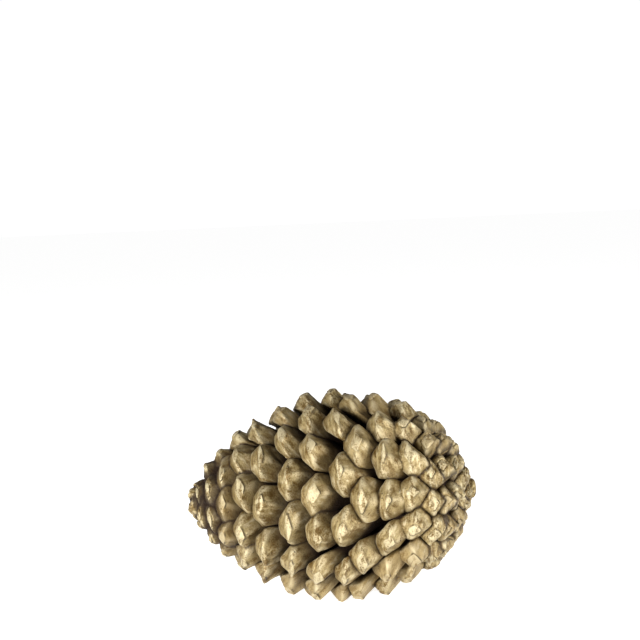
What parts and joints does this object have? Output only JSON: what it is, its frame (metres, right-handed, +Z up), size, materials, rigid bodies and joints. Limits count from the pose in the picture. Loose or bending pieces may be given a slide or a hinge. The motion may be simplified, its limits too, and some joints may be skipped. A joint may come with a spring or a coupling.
{
  "type": "pine cone",
  "caption": "Open pine cone with thick-headed woody scales in rows, lying on its side, with a pale gold painted finish.",
  "frame": {"origin": "middle of the cone's box, on the surface it lies on", "axes": "+X along the cone's axis to its stem end, with the tip at -X; +Z up"},
  "size_m": [0.1488, 0.1072, 0.1054],
  "materials": {
    "gold_painted_scales": "woody scales under a thin satin coat of pale champagne gold, with brown left in the hollows"
  },
  "bodies": {
    "root": {"pine_cone": "gold_painted_scales"}
  },
  "joints": []
}
